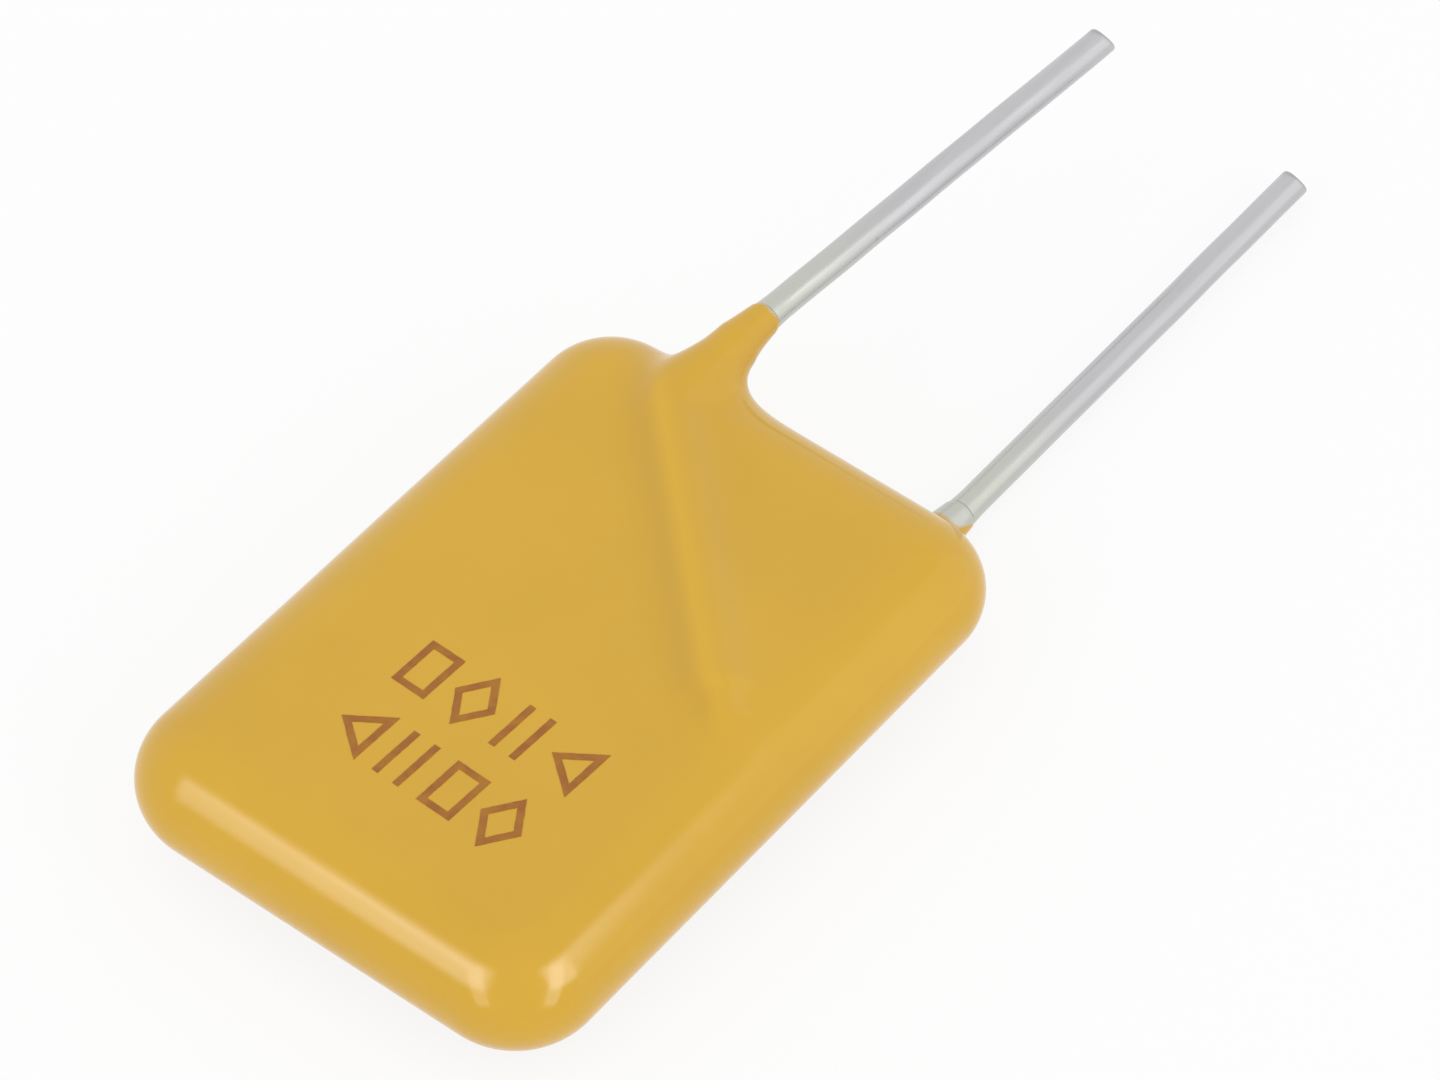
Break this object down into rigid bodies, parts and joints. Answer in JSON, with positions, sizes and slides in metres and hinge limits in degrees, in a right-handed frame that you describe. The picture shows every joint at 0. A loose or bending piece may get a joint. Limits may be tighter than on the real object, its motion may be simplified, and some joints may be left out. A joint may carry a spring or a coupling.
{
  "type": "resettable fuse",
  "caption": "Flat dipped resettable fuse: a rounded yellow epoxy tablet over a polymer chip and foils, with straight tinned wire leads.",
  "frame": {"origin": "middle of the flat back of the body, on its outside", "axes": "+X across the body, +Y along the leads towards their tips, +Z out of the front face"},
  "size_m": [0.011, 0.0289, 0.0036],
  "materials": {
    "yellow_epoxy": "smooth dipped epoxy, semi gloss",
    "black_polymer": "matt carbon filled polymer",
    "nickel_foil": "matt nickel foil",
    "solder": "satin solder",
    "tinned_wire": "satin tin plate"
  },
  "bodies": {
    "root": {"epoxy_coating": "yellow_epoxy", "polymer_chip": "black_polymer", "front_foil": "nickel_foil", "back_foil": "nickel_foil", "front_solder": "solder", "back_solder": "solder", "front_lead": "tinned_wire", "back_lead": "tinned_wire"}
  },
  "joints": []
}
